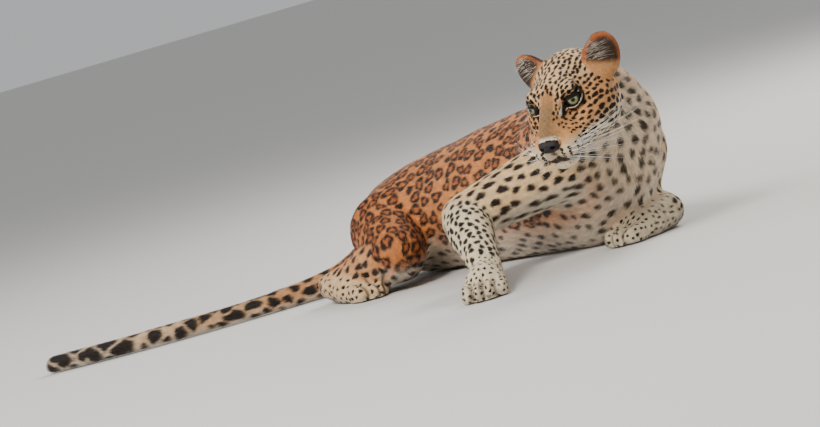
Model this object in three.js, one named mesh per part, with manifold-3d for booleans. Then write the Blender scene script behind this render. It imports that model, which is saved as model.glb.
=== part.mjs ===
// A life-size leopard lying on its chest and belly, head up and turned to its right, tail laid out behind.
// Millimetres, +Z up, +X the way the chest faces, +Y the animal's left, z = 0 the floor.
import * as THREE from "three";
import { mergeVertices } from "three/addons/utils/BufferGeometryUtils.js";
import Module from "manifold-3d";

const wasm = await Module();
wasm.setup();

// Driving dimensions of the animal, in millimetres.
const WITHERS_HEIGHT = 280; // floor to the top of the shoulders, lying down
const CHEST_HALF_WIDTH = 108;
const TAIL_LENGTH = 850;
const TAIL_ROOT_RADIUS = 33;
const TAIL_TIP_RADIUS = 20;
const EYE_RADIUS = 18;
const EAR_HEIGHT = 67;
const GAP = 0.35; // what touching nodes keep between their faces
const CUT_DEPTH = 900; // reach of a cutting block, larger than any node

// Palette of the coat and the bare parts.
const COAT = { tawny: 0xc07a40, pale: 0xdcc7a0, white: 0xe8e0cf, dark: 0x1c1512 };

const vec = (x, y, z) => new THREE.Vector3(x, y, z);
const clamp = THREE.MathUtils.clamp;

// Fields: each is a function of x, y, z that is negative inside the flesh and grows outside.

function ellipsoid([cx, cy, cz], [rx, ry, rz], turn = null) {
  const inverse = turn ? turn.clone().invert() : null;
  const p = vec(0, 0, 0);
  return (x, y, z) => {
    p.set(x - cx, y - cy, z - cz);
    if (inverse) p.applyQuaternion(inverse);
    const near = Math.hypot(p.x / rx, p.y / ry, p.z / rz);
    const steep = Math.hypot(p.x / (rx * rx), p.y / (ry * ry), p.z / (rz * rz));
    return near < 1e-4 ? -Math.min(rx, ry, rz) : (near * (near - 1)) / steep;
  };
}

// A tapered capsule from a to b.
function limb(a, b, radiusA, radiusB) {
  const [dx, dy, dz] = [b[0] - a[0], b[1] - a[1], b[2] - a[2]];
  const lengthSquared = dx * dx + dy * dy + dz * dz;
  return (x, y, z) => {
    const along = ((x - a[0]) * dx + (y - a[1]) * dy + (z - a[2]) * dz) / lengthSquared;
    const t = clamp(along, 0, 1);
    const away = Math.hypot(x - a[0] - t * dx, y - a[1] - t * dy, z - a[2] - t * dz);
    return away - (radiusA + (radiusB - radiusA) * t);
  };
}

function smoothUnion(blend, ...fields) {
  return (x, y, z) => {
    let found = fields[0](x, y, z);
    for (let i = 1; i < fields.length; i++) {
      const next = fields[i](x, y, z);
      const share = clamp(0.5 + (0.5 * (found - next)) / blend, 0, 1);
      found = found + (next - found) * share - blend * share * (1 - share);
    }
    return found;
  };
}

// The flesh less a hollow, with a soft rim.
function smoothHollow(blend, flesh, ...hollows) {
  return (x, y, z) => {
    let found = flesh(x, y, z);
    for (const hollow of hollows) {
      const cut = -hollow(x, y, z);
      const share = clamp(0.5 - (0.5 * (found - cut)) / blend, 0, 1);
      found = found + (cut - found) * share + blend * share * (1 - share);
    }
    return found;
  };
}

// The same shape placed by a frame: the frame's inverse brings a point into the shape's own axes.
function placed(field, frame) {
  const inverse = frame.clone().invert();
  const p = vec(0, 0, 0);
  return (x, y, z) => {
    p.set(x, y, z).applyMatrix4(inverse);
    return field(p.x, p.y, p.z);
  };
}

// A trunk of oval sections: each station is [x, centre y, top z, bottom z, half width], from front to back.
function sectioned(stations) {
  const xs = stations.map((s) => s[0]);
  const read = (x, column) => {
    let i = 0;
    while (i < xs.length - 2 && x < xs[i + 1]) i++;
    const t = clamp((x - xs[i]) / (xs[i + 1] - xs[i]), 0, 1);
    const eased = t * t * (3 - 2 * t) * 0.5 + t * 0.5;
    return stations[i][column] + (stations[i + 1][column] - stations[i][column]) * eased;
  };
  const front = xs[0];
  const back = xs[xs.length - 1];
  return (x, y, z) => {
    const top = read(x, 2);
    const bottom = read(x, 3);
    const halfWidth = read(x, 4);
    const middle = (top + bottom) / 2;
    const halfHeight = (top - bottom) / 2;
    const beyond = Math.max(x - front, back - x, 0);
    const out = Math.hypot((y - read(x, 1)) / halfWidth, (z - middle) / halfHeight);
    const beside = (out - 1) * Math.min(halfWidth, halfHeight);
    return beyond > 0 ? Math.hypot(Math.max(beside, 0), beyond) + Math.min(beside, 0) * 0.2 : beside;
  };
}

// How far from a centre the field's surface lies along a direction, offset outwards by level.
function reach(field, centre, direction, level, farthest) {
  const valueAt = (distance) =>
    field(
      centre.x + direction.x * distance,
      centre.y + direction.y * distance,
      centre.z + direction.z * distance,
    ) - level;
  let inside = 0;
  let distance = 0;
  for (let step = 0; step < 60; step++) {
    const value = valueAt(distance);
    if (value > 0) break;
    inside = distance;
    if (value > -0.02 || distance >= farthest) return distance;
    distance = Math.min(distance - value * 0.8, farthest);
  }
  for (let halving = 0; halving < 12; halving++) {
    const between = (inside + distance) / 2;
    if (valueAt(between) > 0) distance = between;
    else inside = between;
  }
  return inside;
}

// A capsule drawn along a path and pushed out, ray by ray, to the surface of a field.
function wrapPath(points, field, { around = 16, along = 10, cap = 4, farthest = 130, level = 0 }) {
  const path = new THREE.CatmullRomCurve3(
    points.map((p) => vec(...p)),
    false,
    "centripetal",
  );
  const geometry = new THREE.CapsuleGeometry(1, 1, cap, around, along);
  const position = geometry.getAttribute("position");
  const up = vec(0, 0, 1);
  for (let i = 0; i < position.count; i++) {
    const p = vec(0, 0, 0).fromBufferAttribute(position, i);
    const share = clamp(p.y + 0.5, 0, 1);
    const centre = path.getPointAt(share);
    const tangent = path.getTangentAt(share);
    const side = vec(0, 0, 0).crossVectors(up, tangent).normalize();
    const rise = vec(0, 0, 0).crossVectors(tangent, side);
    const beyond = p.y - clamp(p.y, -0.5, 0.5);
    const direction = tangent
      .clone()
      .multiplyScalar(beyond)
      .addScaledVector(side, p.x)
      .addScaledVector(rise, -p.z)
      .normalize();
    const distance = reach(field, centre, direction, level, farthest);
    position.setXYZ(i, ...centre.addScaledVector(direction, distance).toArray());
  }
  return geometry;
}

// An icosphere pushed out from a centre to the surface of a field, its points drawn towards a finer side.
function wrapRound(centre, field, { detail = 8, finer = vec(0, 0, 0), farthest = 220, level = 0 }) {
  const geometry = new THREE.IcosahedronGeometry(1, detail);
  const position = geometry.getAttribute("position");
  for (let i = 0; i < position.count; i++) {
    const direction = vec(0, 0, 0).fromBufferAttribute(position, i).add(finer).normalize();
    const distance = reach(field, centre, direction, level, farthest);
    position.setXYZ(i, ...centre.clone().addScaledVector(direction, distance).toArray());
  }
  return geometry;
}

function toSolid(geometry, frame = null) {
  const bare = new THREE.BufferGeometry();
  bare.setAttribute("position", geometry.getAttribute("position"));
  if (geometry.index) bare.setIndex(geometry.index);
  if (frame) bare.applyMatrix4(frame);
  const merged = mergeVertices(bare, 1e-3);
  const kept = [];
  const index = merged.index.array;
  for (let i = 0; i < index.length; i += 3) {
    const [a, b, c] = [index[i], index[i + 1], index[i + 2]];
    if (a !== b && b !== c && a !== c) kept.push(a, b, c);
  }
  const solid = new wasm.Manifold(
    new wasm.Mesh({
      numProp: 3,
      vertProperties: merged.getAttribute("position").array,
      triVerts: new Uint32Array(kept),
    }),
  );
  return solid;
}

// The largest closed surface of a solid: a scrap left by a cut is dropped, and so is a sealed hollow.
function largest(solid) {
  return solid.decompose().reduce((a, b) => (b.volume() > a.volume() ? b : a));
}

function toGeometry(solid) {
  const mesh = largest(solid).getMesh();
  const geometry = new THREE.BufferGeometry();
  geometry.setAttribute("position", new THREE.BufferAttribute(mesh.vertProperties, 3));
  geometry.setIndex(new THREE.BufferAttribute(mesh.triVerts, 1));
  return geometry;
}

// A block whose one face lies at a point, square to a normal, and which fills the side the normal points to.
function beyondPlane(point, normal, shift = 0) {
  const block = new THREE.BoxGeometry(CUT_DEPTH, CUT_DEPTH, CUT_DEPTH);
  const turn = new THREE.Quaternion().setFromUnitVectors(vec(0, 0, 1), normal.clone().normalize());
  const centre = point.clone().addScaledVector(normal.clone().normalize(), CUT_DEPTH / 2 + shift);
  return toSolid(block, new THREE.Matrix4().compose(centre, turn, vec(1, 1, 1)));
}

function floorBlock() {
  const block = new THREE.BoxGeometry(4 * CUT_DEPTH, 4 * CUT_DEPTH, CUT_DEPTH);
  return toSolid(block, new THREE.Matrix4().makeTranslation(0, 0, -CUT_DEPTH / 2));
}
const floor = floorBlock();

// Trunk: oval sections from the breast to the buttocks, bowed so that the hindquarters lie to the right.
const SPINE_BOW = 8;
const HIP_SHIFT = -48;
const TRUNK_SECTIONS = [
  [122, -8, WITHERS_HEIGHT - 46, 70, CHEST_HALF_WIDTH - 38],
  [66, -2, WITHERS_HEIGHT - 16, 14, CHEST_HALF_WIDTH - 12],
  [-20, SPINE_BOW * 0.4, WITHERS_HEIGHT, -8, CHEST_HALF_WIDTH],
  [-150, SPINE_BOW, WITHERS_HEIGHT - 8, -9, CHEST_HALF_WIDTH + 12],
  [-285, SPINE_BOW, WITHERS_HEIGHT - 24, -9, CHEST_HALF_WIDTH + 16],
  [-410, 0, WITHERS_HEIGHT - 44, -7, CHEST_HALF_WIDTH + 8],
  [-510, HIP_SHIFT * 0.45, WITHERS_HEIGHT - 60, -3, CHEST_HALF_WIDTH - 2],
  [-595, HIP_SHIFT * 0.85, WITHERS_HEIGHT - 82, 10, CHEST_HALF_WIDTH - 14],
  [-662, HIP_SHIFT * 1.1, WITHERS_HEIGHT - 132, 36, CHEST_HALF_WIDTH - 46],
];

// Joints of the skeleton, where the skin lies over them. The right foreleg is splayed, the left one tucked.
const JOINTS = {
  right: {
    blade: [-30, -66, 214],
    shoulder: [52, -80, 166],
    elbow: [-72, -248, 122],
    wrist: [104, -352, 52],
    pawTurn: -0.7,
    hip: [-545, -104, 104],
    knee: [-400, -196, 66],
    hock: [-590, -236, 32],
    footTurn: -0.1,
  },
  left: {
    blade: [-30, 66, 214],
    shoulder: [52, 66, 156],
    elbow: [-70, 112, 42],
    wrist: [108, 62, 34],
    pawTurn: -1.5,
    hip: [-545, 26, 104],
    knee: [-400, 122, 66],
    hock: [-588, 148, 32],
    footTurn: 0.12,
  },
};

const trunkField = smoothUnion(
  34,
  sectioned(TRUNK_SECTIONS),
  ...Object.values(JOINTS).flatMap((j) => [
    limb(j.blade, j.shoulder, 44, 52),
    limb(j.hip, [j.hip[0] - 62, j.hip[1] * 0.9, 84], 64, 50),
  ]),
);
const TRUNK_PATH = [
  [56, -2, 138],
  [-150, 8, 130],
  [-350, 4, 118],
  [-500, -20, 106],
  [-606, -42, 100],
];

// Neck and head. The head is modelled level, facing +X, about a point between the eyes and the ears.
const HEAD_CENTRE = vec(189, -146, 282);
const HEAD_YAW = THREE.MathUtils.degToRad(-62);
const HEAD_PITCH = THREE.MathUtils.degToRad(22);
const HEAD_ROLL = THREE.MathUtils.degToRad(0);
const headFrame = new THREE.Matrix4().compose(
  HEAD_CENTRE,
  new THREE.Quaternion().setFromEuler(new THREE.Euler(HEAD_ROLL, HEAD_PITCH, HEAD_YAW, "ZYX")),
  vec(1, 1, 1),
);
const bothSides = (make) => [-1, 1].map(make);

function headField() {
  const skull = smoothUnion(
    20,
    ellipsoid([-34, 0, 18], [72, 62, 54]),
    ellipsoid([-64, 0, -14], [50, 72, 66]),
    ellipsoid([24, 0, 30], [46, 43, 34]),
    ...bothSides((s) => ellipsoid([-6, s * 49, -22], [56, 37, 50])),
    ...bothSides((s) => limb([-44, s * 34, -38], [44, s * 22, -50], 34, 25)),
  );
  const face = smoothUnion(
    12,
    skull,
    limb([36, 0, 32], [116, 0, 2], 28, 20),
    ellipsoid([80, 0, -20], [54, 39, 36]),
    ...bothSides((s) => ellipsoid([36, s * 46, -10], [28, 20, 18])),
    ...bothSides((s) => ellipsoid([40, s * 31, 47], [19, 17, 9])),
    ...bothSides((s) => limb([96, s * 20, -30], [34, s * 40, -34], 24, 28)),
  );
  const socketed = smoothHollow(9, face, ...bothSides((s) => ellipsoid([68, s * 43, 25], [13, 20, 13])));
  return smoothUnion(
    7,
    socketed,
    ...bothSides((s) => ellipsoid([106, s * 21, -30], [31, 24, 24])),
    ellipsoid([98, 0, -64], [28, 26, 17]),
    ellipsoid([122, 0, -8], [16, 19, 15]),
  );
}
const headShape = headField();
const headInPlace = placed(headShape, headFrame);

const occiput = vec(-80, 0, -8).applyMatrix4(headFrame).toArray();
const NECK_POINTS = [[18, 0, 172], [112, -12, 196], [160, -42, 234], occiput];
const bodyField = smoothUnion(
  30,
  trunkField,
  limb(NECK_POINTS[0], NECK_POINTS[1], 92, 82),
  limb(NECK_POINTS[1], NECK_POINTS[2], 82, 72),
  limb(NECK_POINTS[2], NECK_POINTS[3], 72, 60),
  limb([88, -6, 116], [146, -34, 166], 58, 52),
);

// Legs, side by side: upper and lower bones, with the muscle thickest near the body.
function pawField(length, width) {
  const toes = [-1.5, -0.5, 0.5, 1.5].map((n) => {
    const forward = length * (Math.abs(n) > 1 ? 0.8 : 0.9);
    return ellipsoid([forward, n * width * 0.245, 14], [length * 0.2, width * 0.148, 23]);
  });
  const palm = smoothUnion(
    16,
    limb([0, 0, 34], [length * 0.46, 0, 27], width * 0.38, width * 0.4),
    ellipsoid([length * 0.52, 0, 18], [length * 0.3, width * 0.47, 27]),
  );
  return smoothUnion(6, palm, ...toes);
}

function planFrame(at, turn) {
  return new THREE.Matrix4().makeRotationZ(turn).setPosition(at[0], at[1], 0);
}

const mix = (a, b, t) => a.map((v, i) => v + (b[i] - v) * t);

function legFields(j) {
  const foreCalf = mix(j.elbow, j.wrist, 0.34);
  const hindCalf = mix(j.knee, j.hock, 0.42);
  const heel = [j.hock[0] - 14, j.hock[1], 32];
  const toeLine = [j.hock[0] + 60, j.hock[1] - Math.sin(-j.footTurn) * 60, 28];
  return {
    upperArm: limb(j.shoulder, j.elbow, 64, 46),
    forearm: smoothUnion(14, limb(j.elbow, foreCalf, 45, 43), limb(foreCalf, j.wrist, 43, 32)),
    thigh: smoothUnion(22, limb(j.hip, j.knee, 80, 54), limb(j.hip, [j.hip[0] + 50, j.hip[1], 84], 68, 58)),
    shank: smoothUnion(12, limb(j.knee, hindCalf, 52, 42), limb(hindCalf, heel, 42, 25)),
    instep: limb(heel, toeLine, 27, 27),
  };
}

const FORE_PAW = { length: 142, width: 84 };
const HIND_FOOT = { length: 176, width: 72 };

const solids = {};
const looks = {};
// Adds a node, less whatever still reaches into a node kept before it.
function keep(name, solid, colour, roughness = 0.85) {
  let rest = largest(solid.subtract(floor));
  for (const earlier of Object.values(solids)) {
    if (rest.intersect(earlier).volume() > 0) rest = largest(rest.subtract(earlier));
  }
  solids[name] = rest;
  looks[name] = { color: colour, roughness, metalness: 0 };
}

// Trunk in three lengths.
const trunkWrap = (level) => toSolid(wrapPath(TRUNK_PATH, bodyField, { around: 24, along: 19, cap: 4, farthest: 320, level }));
const trunk = trunkWrap(0);
const trunkClear = trunkWrap(GAP);
const TRUNK_CUTS = [-175, -420];
const cutAt = (x, toward, shift) => beyondPlane(vec(x, 0, 120), vec(toward, 0, 0), shift);
const NECK_BASE = vec(76, -4, 190);
const NECK_LEAN = vec(0.75, -0.05, 0.66);
const front = trunk.subtract(cutAt(TRUNK_CUTS[0], -1, -GAP)).subtract(beyondPlane(NECK_BASE, NECK_LEAN));
keep("torso_middle", trunk.subtract(cutAt(TRUNK_CUTS[0], 1, 0)).subtract(cutAt(TRUNK_CUTS[1], -1, -GAP)), COAT.tawny);
keep("torso_rear", trunk.subtract(cutAt(TRUNK_CUTS[1], 1, 0)), COAT.tawny);

// Head, with lids, nose leather, mouth line and a lower jaw parted along the lips.
const HEAD_MIDDLE = vec(26, 0, -10);
const headWrap = (level) =>
  toSolid(wrapRound(HEAD_MIDDLE, headShape, { detail: 11, finer: vec(0.4, 0, 0), level }), headFrame);
const headClear = headWrap(GAP);
const EYE_AT = (s) => vec(44, s * 34, 26);
const EYE_LOOK = (s) => vec(0.86, s * 0.48, 0.08).normalize();
const facing = (direction) => {
  const roll = new THREE.Matrix4();
  const sideways = vec(0, 0, 1).cross(direction).normalize();
  const rise = direction.clone().cross(sideways);
  return roll.makeBasis(sideways, rise, direction);
};

// The lids are a shell on the eyeball; the slit between them is cut by an oval rod along the line of sight.
const LID_THICKNESS = 3;
const EYE_OPENING = { halfWidth: 15.5, halfHeight: 9.5, slant: 0.26 };
function lidOpening(s) {
  const rod = new THREE.CylinderGeometry(1, 1, 1, 20);
  const { halfWidth, halfHeight, slant } = EYE_OPENING;
  const upright = new THREE.Matrix4().makeRotationX(Math.PI / 2);
  const shape = new THREE.Matrix4().makeScale(halfWidth, halfHeight, 50);
  const tilt = new THREE.Matrix4().makeRotationZ(s * slant);
  const out = EYE_AT(s).addScaledVector(EYE_LOOK(s), 25);
  const place = facing(EYE_LOOK(s)).setPosition(out);
  return toSolid(rod, headFrame.clone().multiply(place).multiply(tilt).multiply(shape).multiply(upright));
}

function eyeball(s, radius) {
  const ball = new THREE.SphereGeometry(radius, 14, 9);
  return toSolid(ball, headFrame.clone().multiply(new THREE.Matrix4().setPosition(EYE_AT(s))));
}

const NOSE_AT = [131, 0, -13];
const NOSE_RADII = [14, 20, 13];
function noseLeather(grow) {
  const ball = new THREE.SphereGeometry(1, 14, 9);
  const frame = new THREE.Matrix4().compose(
    vec(...NOSE_AT),
    new THREE.Quaternion(),
    vec(NOSE_RADII[0] + grow, NOSE_RADII[1] + grow, NOSE_RADII[2] + grow),
  );
  return toSolid(ball, headFrame.clone().multiply(frame));
}

function nostril(s) {
  const ball = new THREE.SphereGeometry(1, 10, 8);
  const frame = new THREE.Matrix4().compose(
    vec(142, s * 11, -14),
    new THREE.Quaternion().setFromEuler(new THREE.Euler(s * -0.5, 0, s * 0.6)),
    vec(9, 5.5, 3.6),
  );
  return toSolid(ball, headFrame.clone().multiply(frame));
}

// The lips: a shallow groove from under the nose, down the cleft and back along each side.
const LIP_LINE = [
  [140, 1, -26],
  [138, 8, -44],
  [122, 25, -51],
  [96, 36, -53],
  [66, 44, -47],
];
function lipGroove(s) {
  const middle = vec(60, 0, -34);
  const onSkin = LIP_LINE.map(([x, y, z]) => {
    const direction = vec(x, s * y, z).sub(middle).normalize();
    return middle.clone().addScaledVector(direction, reach(headShape, middle, direction, 0, 200));
  });
  const path = new THREE.CatmullRomCurve3(onSkin);
  const round = new THREE.Shape();
  round.absarc(0, 0, 2.6, 0, 2 * Math.PI);
  const tube = new THREE.ExtrudeGeometry(round, { steps: 18, curveSegments: 3, extrudePath: path });
  return toSolid(tube, headFrame);
}

const JAW_PROFILE = [
  [60, -50],
  [96, -54],
  [150, -51],
  [150, -110],
  [52, -110],
];
function jawBlock(shift) {
  const outline = new THREE.Shape(JAW_PROFILE.map(([x, z]) => new THREE.Vector2(x - shift, z + shift)));
  const prism = new THREE.ExtrudeGeometry(outline, { depth: 200, bevelEnabled: false });
  const upright = new THREE.Matrix4().makeRotationX(Math.PI / 2).setPosition(0, 100, 0);
  return toSolid(prism, headFrame.clone().multiply(upright));
}

const headSides = [-1, 1];
let skull = headWrap(0);
headSides.forEach((s) => (skull = skull.add(eyeball(s, EYE_RADIUS + LID_THICKNESS))));
headSides.forEach((s) => (skull = skull.subtract(lidOpening(s)).subtract(eyeball(s, EYE_RADIUS + GAP))));
skull = skull.subtract(noseLeather(GAP));
headSides.forEach((s) => (skull = skull.subtract(lipGroove(s))));
keep("head", skull.subtract(jawBlock(GAP)), COAT.tawny);
keep("lower_jaw", skull.intersect(jawBlock(0)), COAT.white);
keep("eye_right", eyeball(-1, EYE_RADIUS), 0x9aa583, 0.1);
keep("eye_left", eyeball(1, EYE_RADIUS), 0x9aa583, 0.1);
let nose = noseLeather(0);
headSides.forEach((s) => (nose = nose.subtract(nostril(s))));
keep("nose", nose, 0x6b4038, 0.5);

// Ears: a rounded leaf hollowed from the front, its foot sunk in the head and cut clear of it.
// The right ear is turned further out and down than the left.
const EAR_LEAN = { "-1": -0.95, 1: 0.42 };
const EAR_FOOT = { "-1": [-40, -56, 46], 1: [-42, 76, 47] };
function ear(s) {
  const shell = new THREE.SphereGeometry(1, 16, 10);
  const lean = new THREE.Quaternion().setFromEuler(new THREE.Euler(-EAR_LEAN[s], -0.1, s * 0.5, "ZYX"));
  const foot = vec(...EAR_FOOT[s]);
  const outer = new THREE.Matrix4().compose(foot, lean, vec(22, 34, EAR_HEIGHT * 0.7));
  const hollowAt = vec(12, 0, 7).applyQuaternion(lean).add(foot);
  const inner = new THREE.Matrix4().compose(hollowAt, lean, vec(24, 27, EAR_HEIGHT * 0.58));
  const leaf = toSolid(shell, headFrame.clone().multiply(outer));
  return leaf.subtract(toSolid(shell, headFrame.clone().multiply(inner))).subtract(headClear);
}
keep("ear_right", ear(-1), COAT.dark);
keep("ear_left", ear(1), COAT.dark);

// Neck, parted from the chest by a slanting face and cut clear of the head.
const behindNeck = beyondPlane(NECK_BASE, NECK_LEAN.clone().negate(), -GAP);
const neckWrap = (level) =>
  toSolid(wrapPath(NECK_POINTS, bodyField, { around: 20, along: 8, cap: 3, farthest: 170, level }));
const neck = neckWrap(0).subtract(behindNeck);
const neckWrapClear = neckWrap(GAP).subtract(behindNeck);
keep("neck", neck.subtract(headClear), COAT.pale);
keep("torso_front", front.subtract(headClear), COAT.tawny);
const neckClear = neckWrapClear;

// Legs: each piece is cut clear of the one that it grows from.
for (const [side, j] of Object.entries(JOINTS)) {
  const fields = legFields(j);
  const armField = fields.upperArm;
  const armPath = [j.shoulder, mix(j.shoulder, j.elbow, 0.5), j.elbow];
  const armWrap = (level) => toSolid(wrapPath(armPath, armField, { around: 14, along: 5, cap: 3, farthest: 84, level }));
  const armClear = armWrap(GAP);
  keep("upper_arm_" + side, armWrap(0).subtract(trunkClear).subtract(neckClear), COAT.tawny);

  const foreField = fields.forearm;
  const forePath = [mix(j.elbow, j.wrist, -0.02), mix(j.elbow, j.wrist, 0.5), j.wrist];
  const foreWrap = (level) => toSolid(wrapPath(forePath, foreField, { around: 14, along: 8, cap: 3, farthest: 70, level }));
  keep("forearm_" + side, foreWrap(0).subtract(armClear).subtract(trunkClear).subtract(neckClear), COAT.pale);

  const pawShape = pawField(FORE_PAW.length, FORE_PAW.width);
  const pawInPlace = smoothUnion(12, placed(pawShape, planFrame(j.wrist, j.pawTurn)), fields.forearm);
  const pawMiddle = vec(FORE_PAW.length * 0.5, 0, 24).applyMatrix4(planFrame(j.wrist, j.pawTurn));
  const pawWrap = wrapRound(pawMiddle, pawInPlace, {
    detail: 5,
    finer: vec(Math.cos(j.pawTurn), Math.sin(j.pawTurn), 0).multiplyScalar(0.4),
    farthest: 100,
  });
  keep("fore_paw_" + side, toSolid(pawWrap).subtract(foreWrap(GAP)).subtract(trunkClear).subtract(neckClear), COAT.pale);

  const thighField = fields.thigh;
  const thighPath = [j.hip, mix(j.hip, j.knee, 0.5), mix(j.hip, j.knee, 0.92)];
  const thighWrap = (level) =>
    toSolid(wrapPath(thighPath, thighField, { around: 14, along: 5, cap: 3, farthest: 104, level }));
  const thighClear = thighWrap(GAP);
  keep("thigh_" + side, thighWrap(0).subtract(trunkClear), COAT.tawny);

  const shankField = fields.shank;
  const shankPath = [mix(j.knee, j.hock, 0.04), mix(j.knee, j.hock, 0.5), mix(j.knee, j.hock, 0.96)];
  const shankWrap = (level) => toSolid(wrapPath(shankPath, shankField, { around: 13, along: 7, cap: 3, farthest: 66, level }));
  keep("shank_" + side, shankWrap(0).subtract(thighClear).subtract(trunkClear), COAT.tawny);

  const footShape = pawField(HIND_FOOT.length, HIND_FOOT.width);
  const footInPlace = smoothUnion(14, placed(footShape, planFrame(j.hock, j.footTurn)), fields.instep);
  const footMiddle = vec(HIND_FOOT.length * 0.5, 0, 24).applyMatrix4(planFrame(j.hock, j.footTurn));
  const footWrap = wrapRound(footMiddle, footInPlace, {
    detail: 5,
    finer: vec(Math.cos(j.footTurn), Math.sin(j.footTurn), 0).multiplyScalar(0.3),
    farthest: 140,
  });
  const foot = toSolid(footWrap).subtract(shankWrap(GAP)).subtract(thighClear).subtract(trunkClear);
  keep("hind_foot_" + side, foot, COAT.pale);
}

// Tail: laid on the floor behind the animal in a slow curve, in five lengths.
const TAIL_ROOT = [-640, -60, 100];
const TAIL_TURNS = [
  TAIL_ROOT,
  [-694, -72, 60],
  [-738, -108, 33],
  [-776, -170, 22],
  [-820, -272, 19],
  [-884, -388, 18],
  [-976, -500, 17],
  [-1092, -590, 16],
];
const TAIL_PARTS = 5;
const tailCurve = new THREE.CatmullRomCurve3(TAIL_TURNS.map((p) => vec(...p)), false, "centripetal");
function tailField() {
  const steps = 40;
  const balls = Array.from({ length: steps }, (_, i) => {
    const t = i / (steps - 1);
    const taper = TAIL_ROOT_RADIUS + (TAIL_TIP_RADIUS - TAIL_ROOT_RADIUS) * Math.min(1, t * 2.2);
    return { at: tailCurve.getPointAt(t), radius: taper };
  });
  const links = balls.slice(1).map((b, i) => limb(balls[i].at.toArray(), b.at.toArray(), balls[i].radius, b.radius));
  return (x, y, z) => Math.min(...links.map((link) => link(x, y, z)));
}
const tailWrap = wrapPath(TAIL_TURNS, tailField(), { around: 12, along: 40, cap: 3, farthest: 60 });
const tail = toSolid(tailWrap).subtract(trunkClear);
for (let part = 0; part < TAIL_PARTS; part++) {
  let length = tail;
  [part, part + 1].forEach((edge, isEnd) => {
    if (edge === 0 || edge === TAIL_PARTS) return;
    const at = tailCurve.getPointAt(edge / TAIL_PARTS);
    const along = tailCurve.getTangentAt(edge / TAIL_PARTS).multiplyScalar(isEnd ? 1 : -1);
    length = length.subtract(beyondPlane(at, along, isEnd ? -GAP : 0));
  });
  keep("tail_" + (part + 1), length, part < 2 ? COAT.tawny : COAT.dark);
}

const leopard = new THREE.Group();
for (const [name, solid] of Object.entries(solids)) {
  const mesh = new THREE.Mesh(toGeometry(solid), new THREE.MeshStandardMaterial(looks[name]));
  mesh.name = name;
  leopard.add(mesh);
}
const extent = new THREE.Box3().setFromObject(leopard);
const middle = extent.getCenter(vec(0, 0, 0));
leopard.position.set(-middle.x, -middle.y, 0);

export default leopard;
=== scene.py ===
"""A life-size leopard lying on the floor: one marked skin, a short coat, eyes, nose and whiskers."""
import math
from collections import namedtuple

import bmesh
import bpy
import numpy as np
from mathutils import Matrix, Vector
from mathutils.bvhtree import BVHTree
from mathutils.kdtree import KDTree


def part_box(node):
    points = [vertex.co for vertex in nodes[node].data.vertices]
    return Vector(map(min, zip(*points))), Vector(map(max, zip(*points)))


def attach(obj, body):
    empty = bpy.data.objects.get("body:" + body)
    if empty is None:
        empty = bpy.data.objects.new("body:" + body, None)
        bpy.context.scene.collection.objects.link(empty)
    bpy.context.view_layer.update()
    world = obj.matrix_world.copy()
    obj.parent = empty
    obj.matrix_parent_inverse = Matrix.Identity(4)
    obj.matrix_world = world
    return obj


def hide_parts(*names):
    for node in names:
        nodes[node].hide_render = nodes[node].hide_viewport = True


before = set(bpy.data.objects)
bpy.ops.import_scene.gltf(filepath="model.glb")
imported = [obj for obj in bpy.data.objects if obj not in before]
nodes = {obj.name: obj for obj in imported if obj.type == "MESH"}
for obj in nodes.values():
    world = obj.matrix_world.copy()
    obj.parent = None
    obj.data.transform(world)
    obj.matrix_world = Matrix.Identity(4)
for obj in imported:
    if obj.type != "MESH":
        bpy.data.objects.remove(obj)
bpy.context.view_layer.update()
rng = np.random.default_rng(11)


def in_scene(name, data):
    """A new object in the scene."""
    thing = bpy.data.objects.new(name, data)
    bpy.context.scene.collection.objects.link(thing)
    return thing


# The head: its turn is the model's own, in radians, and its centre follows from the two eyes, in mm.
HEAD_YAW = math.radians(-62)
HEAD_PITCH = math.radians(22)
EYE_LOCAL = np.array([44.0, 34.0, 26.0])
EYE_RADIUS = 18.0
EYE_SLANT = 0.26
MODEL_HEAD_CENTRE = np.array([189.0, -146.0, 282.0])


def turn_matrix():
    yaw = Matrix.Rotation(HEAD_YAW, 3, "Z")
    pitch = Matrix.Rotation(HEAD_PITCH, 3, "Y")
    return np.array(yaw @ pitch)


HEAD_TURN = turn_matrix()


def box_centre(name):
    low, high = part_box(name)
    return (np.array(low) + np.array(high)) / 2


eye_middle = (box_centre("eye_left") + box_centre("eye_right")) / 2
HEAD_CENTRE = eye_middle - HEAD_TURN @ np.array([EYE_LOCAL[0], 0, EYE_LOCAL[2]]) / 1000
SHIFT = HEAD_CENTRE * 1000 - MODEL_HEAD_CENTRE


def to_head(points):
    """Points of the frame in the head's own millimetres: x to the nose, y to its left, z to the crown."""
    return (points - HEAD_CENTRE) @ HEAD_TURN * 1000


def from_head(points):
    return np.asarray(points) / 1000 @ HEAD_TURN.T + HEAD_CENTRE


def in_frame(x, y, z):
    """A point of the skeleton, given in the model's millimetres, in the frame's metres."""
    return (np.array([x, y, z]) + SHIFT) / 1000


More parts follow.
